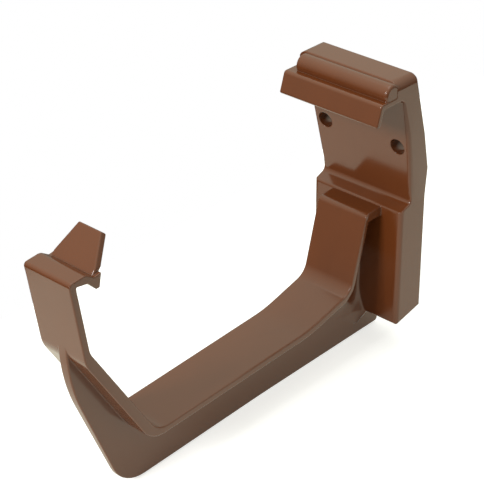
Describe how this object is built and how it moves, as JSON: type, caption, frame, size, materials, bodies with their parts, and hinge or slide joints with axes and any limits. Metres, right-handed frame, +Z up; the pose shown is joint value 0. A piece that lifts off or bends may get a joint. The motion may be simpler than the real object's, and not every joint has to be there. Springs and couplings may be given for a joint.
{
  "type": "gutter bracket",
  "caption": "One-piece moulded plastic bracket that holds a square-line rain gutter: hollow-backed screw plate, back hook, T-section strap bed and snap-over front clip.",
  "frame": {"origin": "on the fascia plane, midway between the two screw holes", "axes": "+Z up, +X along the gutter, +Y into the fascia board, so the gutter hangs towards -Y"},
  "size_m": [0.033, 0.1229, 0.0874],
  "materials": {
    "brown_plastic": "glossy injection-moulded brown plastic with a faint flow texture"
  },
  "bodies": {
    "root": {"gutter_bracket": "brown_plastic"}
  },
  "joints": []
}
